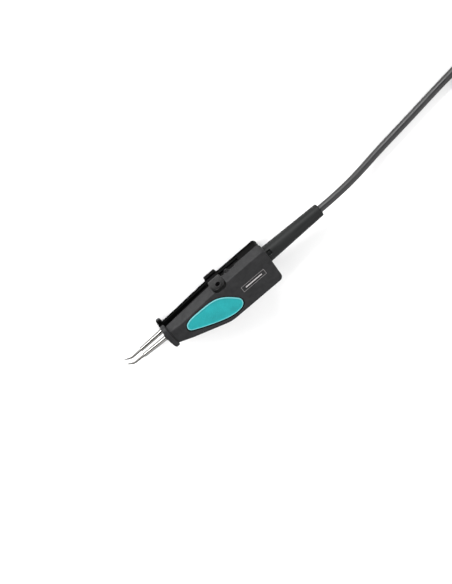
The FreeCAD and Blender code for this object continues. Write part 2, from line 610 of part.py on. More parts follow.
os.makedirs("parts", exist_ok=True)
for name, shape in SHAPES.items():
    placed = shape.copy()
    placed.translate(MOVE)
    if not placed.isValid() or placed.Volume <= 0:
        print("BAD", name)
    placed.exportStep("parts/" + name + ".step")
print(len(SHAPES), "parts")
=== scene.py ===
"""Hot soldering tweezers on a pale table: looks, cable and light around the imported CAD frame."""

import json
import math

import bpy
from mathutils import Matrix, Vector


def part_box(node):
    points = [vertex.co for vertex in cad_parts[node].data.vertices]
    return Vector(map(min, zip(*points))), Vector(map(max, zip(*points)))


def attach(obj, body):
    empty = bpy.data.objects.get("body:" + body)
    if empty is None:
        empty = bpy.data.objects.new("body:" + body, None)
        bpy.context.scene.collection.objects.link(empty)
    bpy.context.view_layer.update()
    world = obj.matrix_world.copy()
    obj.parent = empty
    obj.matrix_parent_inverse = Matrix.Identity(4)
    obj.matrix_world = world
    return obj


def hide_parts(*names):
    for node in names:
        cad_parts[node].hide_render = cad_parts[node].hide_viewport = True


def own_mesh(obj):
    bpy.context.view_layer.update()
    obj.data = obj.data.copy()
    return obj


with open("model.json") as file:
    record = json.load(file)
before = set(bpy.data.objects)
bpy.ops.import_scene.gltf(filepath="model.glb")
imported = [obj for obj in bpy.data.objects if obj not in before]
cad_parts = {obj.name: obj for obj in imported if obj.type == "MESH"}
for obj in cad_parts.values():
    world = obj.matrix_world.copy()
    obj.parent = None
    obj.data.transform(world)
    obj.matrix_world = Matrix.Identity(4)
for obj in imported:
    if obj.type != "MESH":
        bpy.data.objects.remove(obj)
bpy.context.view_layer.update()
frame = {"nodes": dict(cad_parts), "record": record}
MM = 0.001
NODES = frame["nodes"]
SLOT_OF = {part["node"]: part["material_slot"] for part in frame["record"]["subparts"]}

# The tool's own frame, in millimetres: X from the front flange's face, Y across the grip with the cross
# bolt at BOLT_Y, Z from the plane between the arms.

BOLT_Y = 7.4
SHELL_LOW, SHELL_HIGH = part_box("near_shell")
FAR_LOW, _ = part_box("far_shell")
BOLT_LOW, BOLT_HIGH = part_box("cross_bolt")
ZERO = Vector((SHELL_LOW.x, (BOLT_LOW.y + BOLT_HIGH.y) / 2 - BOLT_Y * MM, (SHELL_HIGH.z + FAR_LOW.z) / 2))
BOLT_X = ((BOLT_LOW.x + BOLT_HIGH.x) / 2 - ZERO.x) / MM
HALF_THICK = (SHELL_HIGH.z - ZERO.z) / MM


def tool(x, y, z):
    """A point of the tool's own frame, in millimetres, as a place in the row frame, in metres."""
    return ZERO + Vector((x, y, z)) * MM


def srgb(red, green, blue):
    """A colour on the 0 to 255 scale, as Blender's linear one."""
    return tuple((c / 255 / 12.92 if c < 10 else ((c / 255 + 0.055) / 1.055) ** 2.4)
                 for c in (red, green, blue)) + (1.0,)


# Camera: seen from the eared edge, with the tool across the picture's diagonal

TILT = math.radians(30.0)         # away from square on to the grip's face
ROLL = math.radians(40.3)         # from the picture's horizontal up to the tool's axis
SCALE = 0.8                       # millimetres of tool to a pixel, at the aim point
DISTANCE = 700.0
LONG_SIDE = 584                   # pixels
SENSOR = 36.0
AIM = (60.8, 3.5, 6.0)
ACROSS_SHIFT, ALONG_SHIFT = -6.0, -0.9


def add_camera():
    along = Vector((1, 0, 0))
    across = Vector((0, math.cos(TILT), -math.sin(TILT)))
    outwards = Vector((0, math.sin(TILT), math.cos(TILT)))
    right = along * math.cos(ROLL) - across * math.sin(ROLL)
    up = along * math.sin(ROLL) + across * math.cos(ROLL)
    aim = tool(*AIM) + (along * ALONG_SHIFT + across * ACROSS_SHIFT) * MM
    data = bpy.data.cameras.new("camera")
    data.sensor_width = SENSOR
    data.lens = DISTANCE / SCALE / LONG_SIDE * SENSOR
    data.clip_start, data.clip_end = 0.01, 20.0
    camera = bpy.data.objects.new("camera", data)
    axes = Matrix((right, up, outwards)).transposed().to_4x4()
    camera.matrix_world = Matrix.Translation(aim + outwards * DISTANCE * MM) @ axes
    bpy.context.scene.collection.objects.link(camera)
    bpy.context.scene.camera = camera


# Cable: one line from the boot, along the table, round the coil and out to the plug

CABLE_R = 3.25
FLOOR = -HALF_THICK
ON_FLOOR = FLOOR + CABLE_R + 0.05
BOOT_END, BOOT_Y = 161.0, -4.5
COIL_X, COIL_LONG, COIL_Y = 347.0, 66.0, -17.35   # where its straight sides start, their length, its middle
INNER_TURN, OUTER_TURN = 21.0, 27.5
TURNS = [(OUTER_TURN, 0), (INNER_TURN, 0), (INNER_TURN, 1), (OUTER_TURN, 1),   # radius and layer
         (INNER_TURN, 2)]
COIL_LOW = FLOOR + 1.05
COIL_TOP = COIL_LOW + 4 * CABLE_R
TURN_END = COIL_X + COIL_LONG
LEAD_OUT = [(BOOT_END, BOOT_Y, 0.0), (180.0, -4.6, -0.3), (203.0, -4.9, -4.2), (229.0, -3.4, -9.1),
            (262.0, 0.6, ON_FLOOR), (297.0, 5.6, ON_FLOOR), (326.0, 9.2, ON_FLOOR + 0.3),
            (COIL_X, COIL_Y + OUTER_TURN, COIL_LOW + CABLE_R)]
PLUG_R = 9.0
PLUG_X, PLUG_Y, PLUG_Z = TURN_END - 32.0, COIL_Y - 24.25, COIL_TOP + PLUG_R + 0.05
LEAD_IN = [(TURN_END - 10, COIL_Y - 21.4, COIL_LOW + 5 * CABLE_R + 0.8),
           (TURN_END - 21, COIL_Y - 23.3, PLUG_Z - 1.2), (PLUG_X, PLUG_Y, PLUG_Z)]
HALF_TURN_STEPS = 12
ASIDE_STEPS = 7                   # of the near half turn, in which the cable moves over for its next turn


def end_points(x, start, lanes):
    """Points round one end of the coil, on a polygon whose sides touch the turn."""
    points = []
    for i in range(HALF_TURN_STEPS):
        radius, layer = lanes(i)
        angle = math.radians(start) - math.pi * (i + 0.5) / HALF_TURN_STEPS
        reach = radius / math.cos(math.pi / 2 / HALF_TURN_STEPS)
        points.append((x + reach * math.cos(angle), COIL_Y + reach * math.sin(angle),
                       COIL_LOW + (1 + 2 * layer) * CABLE_R))
    return points


def side_points(low, high, y, layer):
    """Three points along a straight side, in the order in which the cable passes them."""
    z = COIL_LOW + (1 + 2 * layer) * CABLE_R
    return [(low + (high - low) * share, y, z) for share in (0.25, 0.5, 0.75)]


def coil_points():
    """Four long turns, two on the surface and two on top of them, and half a turn above."""
    points = []
    for turn, (radius, layer) in enumerate(TURNS):
        points += side_points(COIL_X, TURN_END, COIL_Y + radius, layer)
        points += end_points(TURN_END, 90, lambda i: (radius, layer))
        if turn == len(TURNS) - 1:
            break
        after, above = TURNS[turn + 1]
        points += side_points(TURN_END, COIL_X, COIL_Y - radius, layer)

        def moving_over(i):
            step = min(1.0, i / ASIDE_STEPS)
            return radius + (after - radius) * step, layer + (above - layer) * step

        points += end_points(COIL_X, 270, moving_over)
    return points


def add_cable():
    points = LEAD_OUT + coil_points() + LEAD_IN
    curve = bpy.data.curves.new("cable", "CURVE")
    curve.dimensions = "3D"
    curve.bevel_depth = CABLE_R   # times each point's radius, by which Blender also pads a curve's box
    curve.bevel_resolution = 5
    curve.resolution_u = 6
    spline = curve.splines.new("NURBS")
    spline.points.add(len(points) - 1)
    for at, point in zip(spline.points, points):
        at.co = (*tool(*point), 1.0)
        at.radius = MM
    spline.order_u = 3
    spline.use_endpoint_u = True
    cable = bpy.data.objects.new("cable", curve)
    bpy.context.scene.collection.objects.link(cable)
    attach(cable, "chassis_body")
    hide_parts("cable_run", "cable_coil", "cable_tail")
    dress(cable, "cable_jacket")
    return cable


# Materials

class Finish:
    """A shader built on the piece's own coordinates. Sizes are in millimetres."""

    def __init__(self, name, rough, metallic=0.0, specular=0.5):
        self.material = bpy.data.materials.new(name)
        self.material.use_nodes = True
        self.tree = self.material.node_tree
        self.shader = self.tree.nodes["Principled BSDF"]
        self.shader.inputs["Metallic"].default_value = metallic
        self.shader.inputs["Specular IOR Level"].default_value = specular
        self.place = self.add("ShaderNodeTexCoord").outputs["Object"]
        self.rough = rough
        self.normal = None
        self.colour = None

    def add(self, kind, inputs=(), **settings):
        node = self.tree.nodes.new(kind)
        for key, value in settings.items():
            setattr(node, key, value)
        for key, value in dict(inputs).items():
            if isinstance(value, bpy.types.NodeSocket):
                self.tree.links.new(value, node.inputs[key])
            else:
                node.inputs[key].default_value = value
        return node

    def sum(self, operation, a, b, clamp=False):
        return self.add("ShaderNodeMath", {0: a, 1: b}, operation=operation, use_clamp=clamp).outputs[0]

    def noise(self, size, detail=3.0, stretch=(1, 1, 1)):
        """Cloudy 0 to 1 values with features of that size, drawn out along an axis by its stretch."""
        scale = [1 / (size * MM * s) for s in stretch]
        mapping = self.add("ShaderNodeMapping", {"Vector": self.place, "Scale": scale})
        inputs = {"Vector": mapping.outputs[0], "Scale": 1.0, "Detail": detail}
        return self.add("ShaderNodeTexNoise", inputs).outputs[0]

    def cells(self, size):
        """Pebbly 0 to 1 values, as on a moulded grain."""
        inputs = {"Vector": self.place, "Scale": 1 / (size * MM)}
        return self.add("ShaderNodeTexVoronoi", inputs, feature="SMOOTH_F1").outputs["Distance"]

    def ramp(self, value, low, high, out_low=0.0, out_high=1.0):
        span = {"Value": value, "From Min": low, "From Max": high, "To Min": out_low, "To Max": out_high}
        return self.add("ShaderNodeMapRange", span).outputs[0]

    def blend(self, share, first, second):
        """Mixes two colours, each a tuple or a socket."""
        return self.add("ShaderNodeMix", {0: share, 6: first, 7: second}, data_type="RGBA").outputs[2]

    def base(self, dark, light, value):
        self.colour = self.blend(self.ramp(value, 0.3, 0.7), dark, light)

    def soft_edges(self, radius):
        """Rounds hard edges in the shading and gives back where they are, from 0 to 1."""
        bevel = self.add("ShaderNodeBevel", {"Radius": radius * MM}, samples=4).outputs[0]
        flat = self.add("ShaderNodeNewGeometry").outputs["Normal"]
        along = self.add("ShaderNodeVectorMath", {0: bevel, 1: flat}, operation="DOT_PRODUCT")
        self.normal = bevel
        return self.ramp(along.outputs["Value"], 0.985, 0.80)

    def bump(self, height, depth, strength=1.0):
        inputs = {"Height": height, "Distance": depth * MM, "Strength": strength}
        if self.normal:
            inputs["Normal"] = self.normal
        self.normal = self.add("ShaderNodeBump", inputs).outputs[0]

    def painted_crevice_shade(self, reach, colour, share):
        """Painted shade: darkens the colour of what lies deep between other surfaces, by ambient occlusion.
        """
        open_sky = self.add("ShaderNodeAmbientOcclusion", {"Distance": reach * MM}, samples=8).outputs["AO"]
        self.colour = self.blend(self.ramp(open_sky, 0.85, 0.35, 0.0, share), self.colour, colour)

    def done(self, roughness_noise, spread):
        """Links the colour, the bumps and a roughness that wanders by spread."""
        rough = self.ramp(roughness_noise, 0.3, 0.7, self.rough - spread, self.rough + spread)
        self.tree.links.new(rough, self.shader.inputs["Roughness"])
        self.tree.links.new(self.colour, self.shader.inputs["Base Color"])
        if self.normal:
            self.tree.links.new(self.normal, self.shader.inputs["Normal"])
        return self.material


def moulded(name, dark, light, rough, specular, grain=0.35, depth=0.012, wear_and_highlight=None):
    """Moulded plastic or rubber: pebbled grain, slight mottling and lighter edges, part wear and part
    painted highlight.
    """
    skin = Finish(name, rough, specular=specular)
    skin.base(dark, light, skin.noise(4.0, 4.0))
    edges = skin.soft_edges(0.25)
    rubbed_and_highlit = skin.sum("MULTIPLY", edges, skin.ramp(skin.noise(1.2), 0.35, 0.65, 0.25, 1.0))
    # Lighter edges: part edge wear, part a painted highlight along the edges.
    if wear_and_highlight:
        skin.colour = skin.blend(rubbed_and_highlit, skin.colour, wear_and_highlight)
    pebbles = skin.cells(grain)
    skin.bump(pebbles, depth, 0.6)
    skin.bump(skin.noise(grain * 0.4, 2.0), depth * 0.5, 0.4)
    return skin, pebbles


def shell_plastic():
    # The lighter edge colour is part wear, part painted highlight.
    skin, pebbles = moulded("grey_shell", srgb(20, 20, 21), srgb(31, 31, 32), 0.52, 0.16,
                            wear_and_highlight=srgb(70, 70, 70))
    # Painted shade: the colour goes towards near black where other surfaces lie close by.
    skin.painted_crevice_shade(1.6, srgb(8, 8, 8), 0.85)
    skin.colour = pale_ear_and_pocket_shade(skin, skin.colour)
    skin.colour = printed_mark(skin, skin.colour)
    return skin.done(pebbles, 0.07)


EAR_X, EAR_HALF = 58.7, 6.35
EAR_TOP = 6.85                    # just above its face and the ring on it, from the middle plane
WALL_LOW, WALL_TOP = 6.9, 12.6    # the pocket's wall, from the middle plane, where shade is painted
POCKET_FLOOR = 3.65               # its Y


def pale_ear_and_pocket_shade(skin, under):
    """A paler colour on the ear's face, and painted shade on the wall of the pocket behind it. Both arms
    alike.
    """
    split = skin.add("ShaderNodeSeparateXYZ", {0: skin.place}).outputs
    middle = tool(EAR_X, 0, 0)
    off_x = skin.sum("ABSOLUTE", skin.sum("SUBTRACT", split[0], middle.x), 0.0)
    off_z = skin.sum("ABSOLUTE", skin.sum("SUBTRACT", split[2], middle.z), 0.0)
    inside = skin.sum("MULTIPLY", skin.sum("LESS_THAN", off_x, EAR_HALF * MM),
                      skin.sum("GREATER_THAN", split[1], tool(0, POCKET_FLOOR, 0).y))
    wall = skin.sum("MULTIPLY", skin.sum("GREATER_THAN", off_z, WALL_LOW * MM),
                    skin.sum("LESS_THAN", off_z, WALL_TOP * MM))
    face = skin.sum("MULTIPLY", inside, skin.sum("LESS_THAN", off_z, EAR_TOP * MM))
    # Painted shade: the pocket's wall is painted near black.
    shaded = skin.blend(skin.sum("MULTIPLY", inside, wall), under, srgb(9, 9, 9))
    paler = skin.ramp(skin.noise(2.0), 0.3, 0.7, 0.6, 0.9)
    return skin.blend(skin.sum("MULTIPLY", face, paler), shaded, srgb(58, 58, 58))


MARK_X, MARK_Y = 82.8, -8.1
MARK_LONG, MARK_WIDE, MARK_LINE = 11.6, 2.4, 0.22   # half its length and width, and half its line
BAR_LONG, BAR_WIDE, BAR_EDGE = 8.352, 0.48, 0.05
FRAME_INK = 0.45                                    # how strong the frame is beside the bar


def printed_mark(skin, under):
    """A thin printed frame with a plain bar in it, on the near arm's flat face."""
    middle = tool(MARK_X, MARK_Y, 0)
    split = skin.add("ShaderNodeSeparateXYZ", {0: skin.place}).outputs
    off_x = skin.sum("ABSOLUTE", skin.sum("SUBTRACT", split[0], middle.x), 0.0)
    off_y = skin.sum("ABSOLUTE", skin.sum("SUBTRACT", split[1], middle.y), 0.0)

    def outside(long, wide):
        """Distance from a rectangle's edge, in metres, negative inside it."""
        return skin.sum("MAXIMUM", skin.sum("SUBTRACT", off_x, long * MM),
                        skin.sum("SUBTRACT", off_y, wide * MM))

    edge = skin.sum("ABSOLUTE", outside(MARK_LONG, MARK_WIDE), 0.0)
    frame_line = skin.ramp(edge, MARK_LINE * MM, MARK_LINE * 0.5 * MM)
    bar = skin.ramp(outside(BAR_LONG, BAR_WIDE), BAR_EDGE * MM, -BAR_EDGE * MM)
    ink = skin.sum("MAXIMUM", skin.sum("MULTIPLY", frame_line, FRAME_INK), bar)
    on_face = skin.ramp(split[2], tool(0, 0, HALF_THICK - 0.2).z, tool(0, 0, HALF_THICK - 0.1).z)
    patchy = skin.ramp(skin.noise(0.5), 0.3, 0.6, 0.55, 0.9)
    shown = skin.sum("MULTIPLY", skin.sum("MULTIPLY", ink, on_face), patchy)
    return skin.blend(shown, under, srgb(176, 172, 172))


def black_plastic(name="black_plastic", rough=0.55):
    # The lighter edge colour is part wear, part painted highlight.
    skin, pebbles = moulded(name, srgb(3, 3, 3), srgb(6, 6, 6), rough, 0.02, wear_and_highlight=srgb(13, 13, 13))
    return skin.done(pebbles, 0.08)


BEAD_HIGHLIGHT = "bead"   # the mesh attribute that is 1 along a pad's bead, where a pale painted highlight goes


def soft_rubber():
    skin = Finish("teal_rubber", 0.48, specular=0.2)
    cloud = skin.noise(7.0, 4.0)
    skin.base(srgb(9, 121, 124), srgb(15, 133, 136), cloud)
    fleck = skin.noise(0.7, 2.0)
    skin.colour = skin.blend(skin.ramp(fleck, 0.54, 0.70, 0.0, 0.35), skin.colour, srgb(36, 148, 152))
    bead = skin.add("ShaderNodeAttribute", attribute_name=BEAD_HIGHLIGHT).outputs["Fac"]
    # Painted highlight: the bead is painted a pale teal.
    skin.colour = skin.blend(skin.ramp(bead, 0.2, 0.8, 0.0, 0.35), skin.colour, srgb(150, 205, 210))
    skin.bump(skin.cells(0.45), 0.02, 0.7)
    skin.bump(fleck, 0.02, 0.5)
    return skin.done(fleck, 0.08)


def boot_rubber():
    skin = Finish("boot_rubber", 0.5, specular=0.13)
    cloud = skin.noise(5.0, 4.0, (6, 1, 1))
    skin.base(srgb(17, 18, 18), srgb(26, 27, 27), cloud)
    skin.bump(skin.cells(0.4), 0.012, 0.5)
    skin.bump(skin.noise(1.2, 3.0, (8, 1, 1)), 0.02, 0.4)
    return skin.done(cloud, 0.08)


def cable_jacket():
    skin = Finish("cable_jacket", 0.4, specular=0.45)
    cloud = skin.noise(6.0, 4.0)
    skin.base(srgb(18, 18, 19), srgb(27, 27, 28), cloud)
    skin.bump(skin.noise(0.5, 3.0), 0.012, 0.5)
    return skin.done(cloud, 0.09)


def metal(name, dark, light, rough, drawn=(1, 1, 1), scratch=0.25, spread=0.06, depth=0.004, tint=None):
    """Bare or plated metal with marks drawn out one way, and tint where it is heat-stained."""
    skin = Finish(name, rough, metallic=1.0)
    streaks = skin.noise(scratch, 4.0, drawn)
    skin.base(dark, light, streaks)
    if tint:
        skin.colour = skin.blend(skin.ramp(skin.noise(2.2), 0.42, 0.66, 0.0, 0.6), skin.colour, tint)
    skin.bump(streaks, depth, 0.5)
    return skin.done(skin.noise(1.5, 3.0, drawn), spread)


def ceramic():
    skin = Finish("ceramic", 0.6, specular=0.5)
    speck = skin.noise(0.6, 3.0)
    skin.base(srgb(214, 210, 196), srgb(238, 235, 226), speck)
    skin.bump(speck, 0.01, 0.5)
    return skin.done(speck, 0.08)


def wire_sleeve():
    """Braided glass-fibre sleeving."""
    skin = Finish("wire_sleeve", 0.75, specular=0.3)
    braid = skin.cells(0.3)
    skin.base(srgb(176, 172, 160), srgb(214, 210, 198), braid)
    skin.bump(braid, 0.05, 0.8)
    return skin.done(braid, 0.1)


def tie_strap():
    """Hook-and-loop strap: short matted loops."""
    skin = Finish("tie_strap", 0.9, specular=0.15)
    skin.shader.inputs["Sheen Weight"].default_value = 0.3
    loops = skin.cells(0.35)
    skin.base(srgb(14, 14, 15), srgb(34, 34, 36), loops)
    skin.bump(loops, 0.12, 0.9)
    return skin.done(loops, 0.06)


ALONG_TUBE = (25, 1, 1)
MATERIALS = {
    "grey_shell": shell_plastic(),
    "black_plastic": black_plastic(),
    "plug_plastic": black_plastic("plug_plastic", 0.45),
    "teal_rubber": soft_rubber(),
    "boot_rubber": boot_rubber(),
    "cable_jacket": cable_jacket(),
    "stainless": metal("stainless", srgb(112, 111, 109), srgb(134, 133, 131), 0.10, ALONG_TUBE, spread=0.03),
    "tip_plating": metal("tip_plating", srgb(76, 75, 74), srgb(104, 103, 101), 0.20, tint=srgb(66, 62, 57)),
    "dark_screw": metal("dark_screw", srgb(14, 14, 15), srgb(26, 26, 27), 0.45),
    "spring_steel": metal("spring_steel", srgb(150, 150, 152), srgb(188, 188, 190), 0.28),
    "plug_metal": metal("plug_metal", srgb(190, 190, 190), srgb(216, 216, 216), 0.25, (1, 6, 6)),
    "brass": metal("brass", srgb(196, 160, 84), srgb(222, 188, 112), 0.30),
    "ceramic": ceramic(),
    "wire_sleeve": wire_sleeve(),
    "tie_strap": tie_strap(),
}


def dress(piece, slot):
    """Gives a new piece its slot and that slot's material."""
    piece.data.materials.clear()
    piece.data.materials.append(MATERIALS[slot])


SHARP = math.radians(28)


def dress_cad_nodes():
    for name, node in NODES.items():
        node.data.materials.clear()
        node.data.materials.append(MATERIALS[SLOT_OF[name]])
        node.data.polygons.foreach_set("use_smooth", [True] * len(node.data.polygons))
        node.data.set_sharp_from_angle(angle=SHARP)


# Mesh builders

def add_mesh(name, points, faces, sharp=SHARP):
    mesh = bpy.data.meshes.new(name)
    mesh.from_pydata(points, [], faces)
    mesh.validate()
    mesh.polygons.foreach_set("use_smooth", [True] * len(mesh.polygons))
    mesh.set_sharp_from_angle(angle=sharp)
    piece = bpy.data.objects.new(name, mesh)
    bpy.context.scene.collection.objects.link(piece)
    return piece


def ring_faces(rings, around, closed=False):
    """Quads between rings of points that each go once around."""
    faces = []
    for i in range(rings if closed else rings - 1):
        low, high = i * around, (i + 1) % rings * around
        for j in range(around):
            on = (j + 1) % around
            faces.append((low + j, low + on, high + on, high + j))
    return faces


def turned(name, y, z, profile, around=72, carve=None, closed=False):
    """A piece turned about a line along X: (x, radius) points, and what carve takes off the radius."""
    points = []
    for x, radius in profile:
        for j in range(around):
            angle = 2 * math.pi * j / around
            at = radius - (carve(x, angle) if carve else 0.0)
            points.append(tool(x, y + at * math.cos(angle), z + at * math.sin(angle)))
    faces = ring_faces(len(profile), around, closed)
    if not closed:
        faces += [tuple(range(around - 1, -1, -1)), tuple(range(len(points) - around, len(points)))]
    return add_mesh(name, points, faces)


def steps(low, high, count):
    return [low + (high - low) * i / count for i in range(count + 1)]


def bell(value, middle, half, soft):
    """1 within half of the middle, falling to 0 over soft."""
    share = min(1.0, max(0.0, (half + soft - abs(value - middle)) / soft))
    return share * share * (3 - 2 * share)


# Grip pads

PAD_POINTS = 144
# How far in and how high each ring is, from the CAD pad's outline and face; inside them, shares of the last
PAD_RIM = ((0.45, -1.18), (0.45, -0.7), (0.5, -0.45), (0.65, -0.22), (0.9, -0.1), (1.15, -0.1), (1.45, -0.2),
           (1.8, -0.3), (2.2, -0.33), (3.0, -0.29))
PAD_FILL = ((0.86, -0.22), (0.68, -0.15), (0.5, -0.09), (0.32, -0.05), (0.15, -0.03))
PAD_MIDDLE = -0.02
PAD_HIGHLIGHT_WIDTH = 1.2   # the width of the painted highlight along the bead, from the CAD pad's outline
PAD_SHARP = math.radians(60)


def pad_outline(node):
    """The CAD pad's outline as even steps of angle about its middle, in the tool's frame."""
    corners = [(v.co - ZERO) / MM for v in node.data.vertices]
    middle_x = sum(c.x for c in corners) / len(corners)
    middle_y = sum(c.y for c in corners) / len(corners)
    low = min(abs(c.z) for c in corners)
    rim = sorted((math.atan2(c.y - middle_y, c.x - middle_x), math.hypot(c.x - middle_x, c.y - middle_y))
                 for c in corners if abs(c.z) < low + 0.01)
    rim = [(rim[-1][0] - 2 * math.pi, rim[-1][1])] + rim + [(rim[0][0] + 2 * math.pi, rim[0][1])]
    outline, k = [], 0
    for i in range(PAD_POINTS):
        angle = -math.pi + 2 * math.pi * i / PAD_POINTS
        while rim[k + 1][0] <= angle:
            k += 1
        share = (angle - rim[k][0]) / (rim[k + 1][0] - rim[k][0])
        radius = rim[k][1] + (rim[k + 1][1] - rim[k][1]) * share
        outline.append(Vector((middle_x + radius * math.cos(angle), middle_y + radius * math.sin(angle))))
    return outline, Vector((middle_x, middle_y))


def add_pad(side, sign):
    """A soft oval insert: a rounded bead along its edge and a low dome inside it."""
    outline, middle = pad_outline(NODES[side + "_grip_pad"])
    inwards = []
    for i, point in enumerate(outline):
        along = outline[(i + 1) % PAD_POINTS] - outline[i - 1]
        inwards.append(Vector((-along.y, along.x)).normalized())
    rings = [([p + n * inset for p, n in zip(outline, inwards)], height) for inset, height in PAD_RIM]
    last = rings[-1][0]
    rings += [([middle + (p - middle) * share for p in last], height) for share, height in PAD_FILL]
    points = [tool(p.x, p.y, sign * (HALF_THICK + height)) for ring, height in rings for p in ring]
    points.append(tool(middle.x, middle.y, sign * (HALF_THICK + PAD_MIDDLE)))
    faces = ring_faces(len(rings), PAD_POINTS)
    start = (len(rings) - 1) * PAD_POINTS
    faces += [(start + j, start + (j + 1) % PAD_POINTS, len(points) - 1) for j in range(PAD_POINTS)]
    faces.append(tuple(range(PAD_POINTS - 1, -1, -1)))
    if sign < 0:
        faces = [tuple(reversed(face)) for face in faces]
    pad = add_mesh(side + "_soft_grip", points, faces, PAD_SHARP)
    # The bead's points carry the painted highlight.
    on_highlight = sum(inset < PAD_HIGHLIGHT_WIDTH for inset, _ in PAD_RIM) * PAD_POINTS
    shares = [1.0] * on_highlight + [0.0] * (len(points) - on_highlight)
    pad.data.attributes.new(BEAD_HIGHLIGHT, "FLOAT", "POINT").data.foreach_set("value", shares)
    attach(pad, side + "_arm")
    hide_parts(side + "_grip_pad")
    dress(pad, "teal_rubber")


# Boot

BOOT_START, BOOT_ROOT_R, BOOT_TIP_R = 103.9, 7.15, 5.7
SLOT_X, SLOT_HALF, SLOT_DEEP = 107.0, 1.5, 1.8
SLOT_TURN, SLOT_HALF_TURN = math.radians(63), math.radians(15)
SLOT_SOFT, SLOT_SOFT_TURN = 0.4, math.radians(4)
BOOT_SUNK, BOOT_ROUND, BOOT_WAIST = 1.6, 1.0, 0.85
SLOTTED_END = 113.0   # up to here the stations are close together


def boot_slots(x, angle):
    """Two flexing slots at the root, opposite each other."""
    half = (angle - SLOT_TURN + math.pi / 2) % math.pi - math.pi / 2
    return SLOT_DEEP * bell(x, SLOT_X, SLOT_HALF, SLOT_SOFT) * bell(half, 0, SLOT_HALF_TURN, SLOT_SOFT_TURN)


def add_boot():
    """A tapering strain relief, waisted behind its root and rounded at its tip."""
    def radius(x):
        share = (x - BOOT_START) / (BOOT_END - BOOT_START)
        return BOOT_ROOT_R + (BOOT_TIP_R - BOOT_ROOT_R) * share ** BOOT_WAIST

    stations = steps(BOOT_START - BOOT_SUNK, BOOT_START, 2) + steps(BOOT_START + 0.4, SLOTTED_END, 28)
    stations += steps(SLOTTED_END + 1, BOOT_END - BOOT_ROUND, 24)
    profile = [(x, min(BOOT_ROOT_R, radius(max(x, BOOT_START)))) for x in stations]
    for turn in steps(0, math.pi / 2, 6)[1:]:
        profile.append((BOOT_END + BOOT_ROUND * (math.sin(turn) - 1),
                        radius(BOOT_END) + BOOT_ROUND * (math.cos(turn) - 1)))
    profile += [(BOOT_END, CABLE_R + 0.15), (BOOT_END - 0.6, CABLE_R - 0.05)]
    boot = turned("strain_relief", BOOT_Y, 0, profile, 120, boot_slots)
    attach(boot, "chassis_body")
    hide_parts("cable_boot")
    dress(boot, "boot_rubber")


# Return springs

SPRING_LOW, SPRING_HIGH, SPRING_R, WIRE_R = 0.6, 3.9, 2.7, 0.28
SPRING_TURNS, SPRING_STEPS, WIRE_STEPS = 3.5, 40, 10


def add_spring(side, sign):
    """A coil spring of round wire, standing on the chassis tongue."""
    count = int(SPRING_TURNS * SPRING_STEPS)
    points = []
    for i in range(count + 1):
        angle = 2 * math.pi * i / SPRING_STEPS
        middle = SPRING_LOW + WIRE_R + (SPRING_HIGH - SPRING_LOW - 2 * WIRE_R) * i / count
        for j in range(WIRE_STEPS):
            turn = 2 * math.pi * j / WIRE_STEPS
            radius = SPRING_R + WIRE_R * math.cos(turn)
            points.append(tool(BOLT_X + radius * math.cos(angle), BOLT_Y + radius * math.sin(angle),
                               sign * (middle + WIRE_R * math.sin(turn))))
    faces = ring_faces(count + 1, WIRE_STEPS)
    faces += [tuple(range(WIRE_STEPS)), tuple(range(len(points) - 1, len(points) - WIRE_STEPS - 1, -1))]
    if sign > 0:
        faces = [tuple(reversed(face)) for face in faces]
    spring = add_mesh(side + "_spring_coil", points, faces)
    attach(spring, "chassis_body")
    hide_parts(side + "_return_spring")
    dress(spring, "spring_steel")
    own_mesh(spring)


# Strap round the coil, and the plug

STRAP_WIDE, STRAP_THICK, STRAP_ROUND = 9.0, 0.85, 3.3
STRAP_CORNER_STEPS = 8
# The strap's section: shares of its thickness and of its width
STRAP_SECTION = ((0.0, 0.05), (0.0, 0.95), (0.2, 1.0), (0.8, 1.0), (1.0, 0.95), (1.0, 0.05), (0.8, 0.0),
                 (0.2, 0.0))


def add_strap():
    """A strap pulled round the five cables of the coil's side away from the plug."""
    centre_x, centre_y = COIL_X + COIL_LONG / 2, COIL_Y + (INNER_TURN + OUTER_TURN) / 2
    bottom, top, above = (COIL_LOW + CABLE_R * layer for layer in (1, 3, 5))
    corners = ((CABLE_R, bottom, -90, 0), (CABLE_R, top, 0, 45),
               (-CABLE_R, above, 45, 180), (-CABLE_R, bottom, 180, 270))
    path = [(centre_y + y, z, math.radians(angle))
            for y, z, start, stop in corners for angle in steps(start, stop, STRAP_CORNER_STEPS)]
    points = []
    for y, z, turn in path:
        for depth, across in STRAP_SECTION:
            out = STRAP_ROUND + STRAP_THICK * depth
            points.append(tool(centre_x + STRAP_WIDE * (across - 0.5), y + out * math.cos(turn),
                               z + out * math.sin(turn)))
    strap = add_mesh("coil_strap", points, ring_faces(len(path), len(STRAP_SECTION), True))
    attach(strap, "chassis_body")
    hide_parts("cable_tie")
    dress(strap, "tie_strap")
    return strap


RELIEF_LONG, GRIP_LONG, SKIRT_LONG = 14.0, 40.0, 52.0
RELIEF_START_R, RELIEF_R, SKIRT_R, SKIRT_BORE = 4.4, 5.4, 7.5, 6.7
RIB_START, RIB_STEP, RIB_LAST, RIB_DEEP = 2.0, 2.2, 4, 0.9
FLUTES, FLUTE_MIDDLE, FLUTE_DEEP = 24, 27.0, 0.45


def add_plug_piece(name, node, slot, profile, carve=None, closed=False):
    """A turned piece of the plug, whose profile counts from the cable's end, away from the coil."""
    flipped = [(PLUG_X - x, radius) for x, radius in profile]
    piece = turned(name, PLUG_Y, PLUG_Z, flipped[::-1], 96, carve, closed)
    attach(piece, "chassis_body")
    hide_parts(node)
    dress(piece, slot)
    return piece


